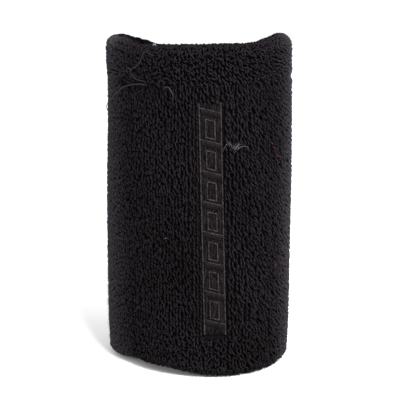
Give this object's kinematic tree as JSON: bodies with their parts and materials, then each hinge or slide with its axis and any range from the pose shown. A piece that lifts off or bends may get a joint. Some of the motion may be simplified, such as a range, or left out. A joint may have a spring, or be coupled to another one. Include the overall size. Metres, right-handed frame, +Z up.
{
  "type": "sweat wristband",
  "caption": "Long tubular terry sweat wristband, knitted double and folded over at both rims, with a vertical embroidered strip.",
  "frame": {"origin": "centre of the lower rim's resting plane, on the band's long axis", "axes": "+Z runs up the band from its lower to its upper rim; -Y is the side with the embroidered strip; +X completes the right-handed frame"},
  "size_m": [0.0594, 0.055, 0.105],
  "materials": {
    "black_terry": "looped cotton terry, matt",
    "seam_thread": "spun polyester thread, matt",
    "covered_elastic": "rubber core wrapped with black yarn",
    "backing_felt": "tear-away nonwoven felt",
    "outline_thread": "brownish grey embroidery thread, slight sheen",
    "dark_embroidery_thread": "black viscose embroidery thread, satin sheen"
  },
  "bodies": {
    "root": {"closing_seam_thread": "seam_thread", "elastic_yarn_above_seam": "covered_elastic", "elastic_yarn_inner_layer": "covered_elastic", "elastic_yarn_outer_layer": "covered_elastic", "embroidery_backing": "backing_felt", "embroidery_bar_1": "dark_embroidery_thread", "embroidery_bar_2": "dark_embroidery_thread", "embroidery_bar_3": "dark_embroidery_thread", "embroidery_bar_4": "dark_embroidery_thread", "embroidery_bar_5": "dark_embroidery_thread", "embroidery_bar_6": "dark_embroidery_thread", "embroidery_bar_7": "dark_embroidery_thread", "embroidery_bar_8": "dark_embroidery_thread", "embroidery_bobbin_stitches": "seam_thread", "embroidery_border_left": "outline_thread", "embroidery_border_right": "outline_thread", "embroidery_ground_fill": "dark_embroidery_thread", "embroidery_lozenge_1": "outline_thread", "embroidery_lozenge_2": "outline_thread", "embroidery_lozenge_3": "outline_thread", "embroidery_lozenge_4": "outline_thread", "embroidery_lozenge_5": "outline_thread", "embroidery_lozenge_6": "outline_thread", "embroidery_lozenge_7": "outline_thread", "terry_tube": "black_terry"}
  },
  "joints": []
}
